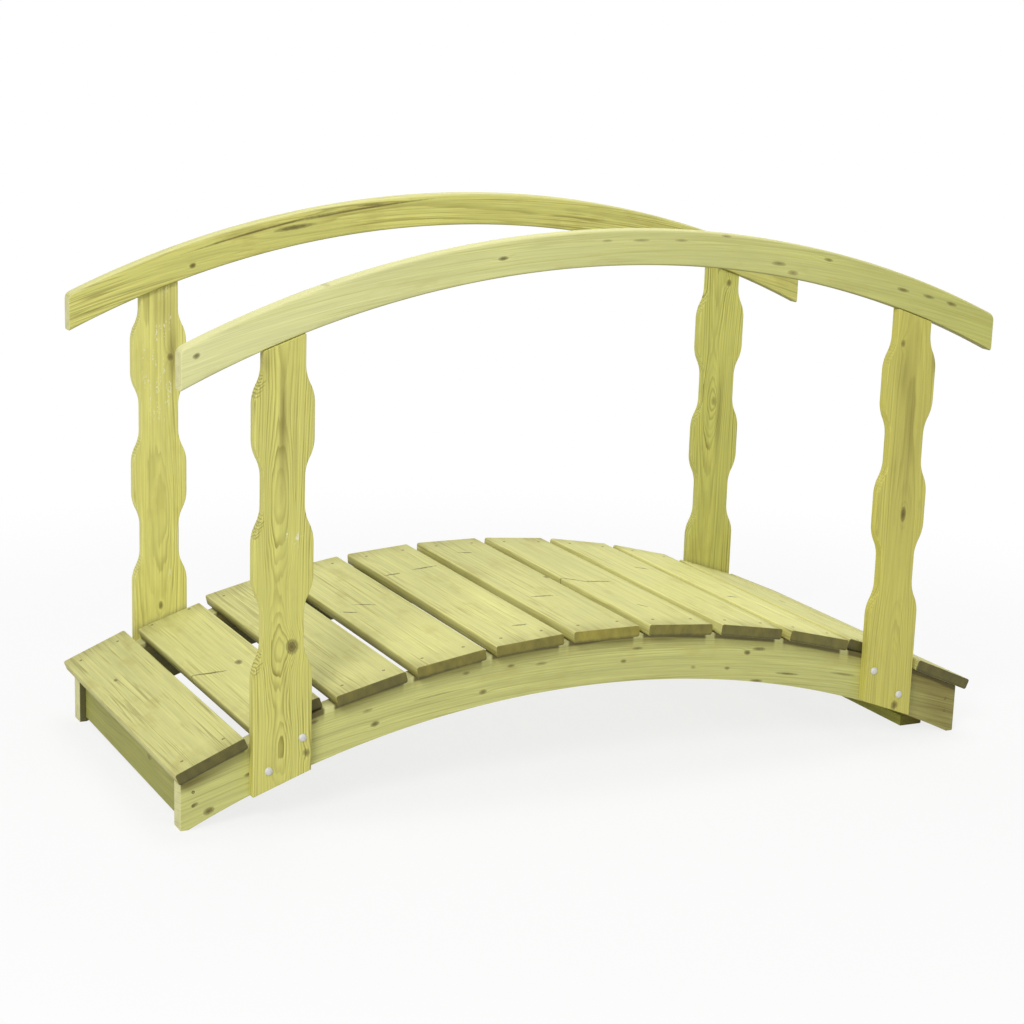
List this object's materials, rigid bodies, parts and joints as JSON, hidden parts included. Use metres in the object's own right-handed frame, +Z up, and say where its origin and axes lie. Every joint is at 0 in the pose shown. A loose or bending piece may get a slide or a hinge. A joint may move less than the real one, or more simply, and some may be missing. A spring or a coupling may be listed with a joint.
{
  "type": "wooden garden bridge",
  "caption": "Arched timber garden footbridge with plank deck, curved side beams, wavy flat posts and arched handrails.",
  "frame": {"origin": "on the ground under the middle of the deck", "axes": "+X along the walkway, +Y across it, +Z up"},
  "size_m": [1.697, 0.74, 1.0498],
  "materials": {
    "beam_wood": "sawn, pressure-treated",
    "deck_wood": "planed, pressure-treated",
    "post_wood": "planed, pressure-treated",
    "rail_wood": "planed, pressure-treated",
    "zinc_fixing": "galvanised"
  },
  "bodies": {
    "root": {"near_stringer": "beam_wood", "far_stringer": "beam_wood", "left_end_board": "beam_wood", "right_end_board": "beam_wood", "left_sole_board": "beam_wood", "right_sole_board": "beam_wood", "plank_01": "deck_wood", "plank_02": "deck_wood", "plank_03": "deck_wood", "plank_04": "deck_wood", "plank_05": "deck_wood", "plank_06": "deck_wood", "plank_07": "deck_wood", "plank_08": "deck_wood", "plank_09": "deck_wood", "plank_10": "deck_wood", "plank_11": "deck_wood", "near_left_post": "post_wood", "near_right_post": "post_wood", "far_left_post": "post_wood", "far_right_post": "post_wood", "near_rail": "rail_wood", "far_rail": "rail_wood"}
  },
  "joints": []
}
